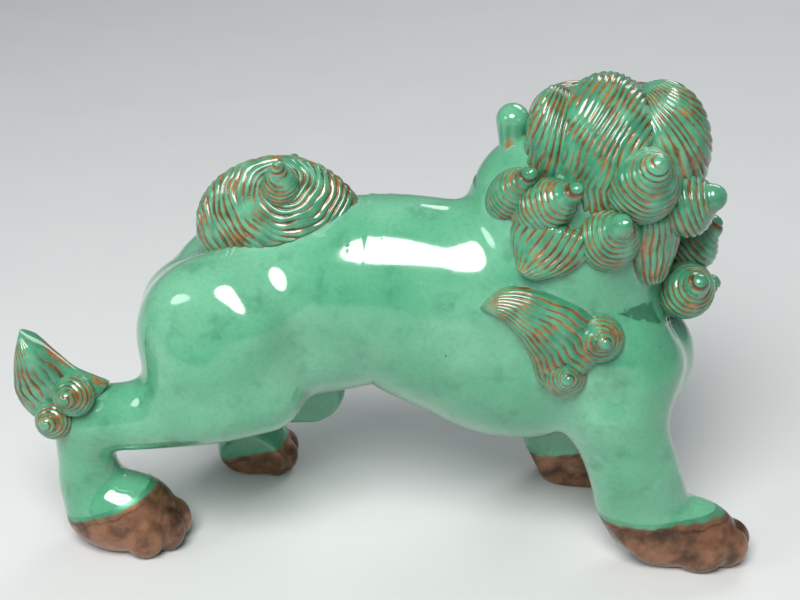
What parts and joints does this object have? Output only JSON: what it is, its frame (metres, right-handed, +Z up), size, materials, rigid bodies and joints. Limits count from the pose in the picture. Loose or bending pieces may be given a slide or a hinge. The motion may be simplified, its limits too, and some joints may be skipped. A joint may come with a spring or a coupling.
{
  "type": "foo dog statue",
  "caption": "Striding guardian lion in hollow green-glazed ceramic, head turned to its left, with a curled mane, a fan tail, flame tufts and bronze paws.",
  "frame": {"origin": "on the surface the statue stands on, under the middle of its bounding box", "axes": "+X the way the body walks, +Y the lion's left, which is where the turned face looks, +Z up"},
  "size_m": [0.3013, 0.1107, 0.207],
  "materials": {
    "green_glaze": "thick glossy transparent green lead glaze over buff clay, pooling paler in the hollows",
    "combed_glaze": "the same green glaze over combed strands, with ochre wiped into the grooves",
    "bronze_paint": "cold bronze paint with a soft metallic sheen, worn at the sole edges",
    "white_glaze": "glossy off-white glaze",
    "red_glaze": "glossy iron-red glaze"
  },
  "bodies": {
    "root": {"torso_half_right": "green_glaze", "torso_half_left": "green_glaze", "neck": "green_glaze", "head": "green_glaze", "hind_paw_right": "bronze_paint", "hind_paw_left": "bronze_paint", "fore_paw_right": "bronze_paint", "fore_paw_left": "bronze_paint", "hind_leg_right": "green_glaze", "hind_leg_left": "green_glaze", "foreleg_right": "green_glaze", "foreleg_left": "green_glaze", "tail_plume": "combed_glaze", "tail_curl_right": "combed_glaze", "tail_curl_left": "combed_glaze", "shoulder_flame_right": "combed_glaze", "shoulder_curl_upper_right": "combed_glaze", "shoulder_curl_lower_right": "combed_glaze", "hock_tuft_right": "combed_glaze", "hock_curl_upper_right": "combed_glaze", "hock_curl_lower_right": "combed_glaze", "shoulder_flame_left": "combed_glaze", "shoulder_curl_upper_left": "combed_glaze", "shoulder_curl_lower_left": "combed_glaze", "hock_tuft_left": "combed_glaze", "hock_curl_upper_left": "combed_glaze", "hock_curl_lower_left": "combed_glaze", "mane_lobe_crown": "combed_glaze", "mane_lobe_right": "combed_glaze", "mane_lobe_left": "combed_glaze", "mane_curl_crown": "combed_glaze", "mane_curl_right": "combed_glaze", "mane_curl_nape": "combed_glaze", "mane_curl_left": "combed_glaze", "mane_curl_behind_ear": "combed_glaze", "mane_curl_throat": "combed_glaze", "mane_curl_chest": "combed_glaze", "mane_curl_jaw": "combed_glaze", "mane_lock_nape": "combed_glaze", "mane_lock_throat": "combed_glaze", "cheek_curl_right": "combed_glaze", "cheek_curl_left": "combed_glaze", "beard_curl_right": "combed_glaze", "beard_curl_middle": "combed_glaze", "beard_curl_left": "combed_glaze", "eye_right": "white_glaze", "brow_right": "combed_glaze", "ear_right": "green_glaze", "eye_left": "white_glaze", "brow_left": "combed_glaze", "ear_left": "green_glaze", "nose": "green_glaze", "lower_jaw": "green_glaze", "tongue": "red_glaze", "lower_teeth": "white_glaze", "upper_teeth": "white_glaze"}
  },
  "joints": []
}
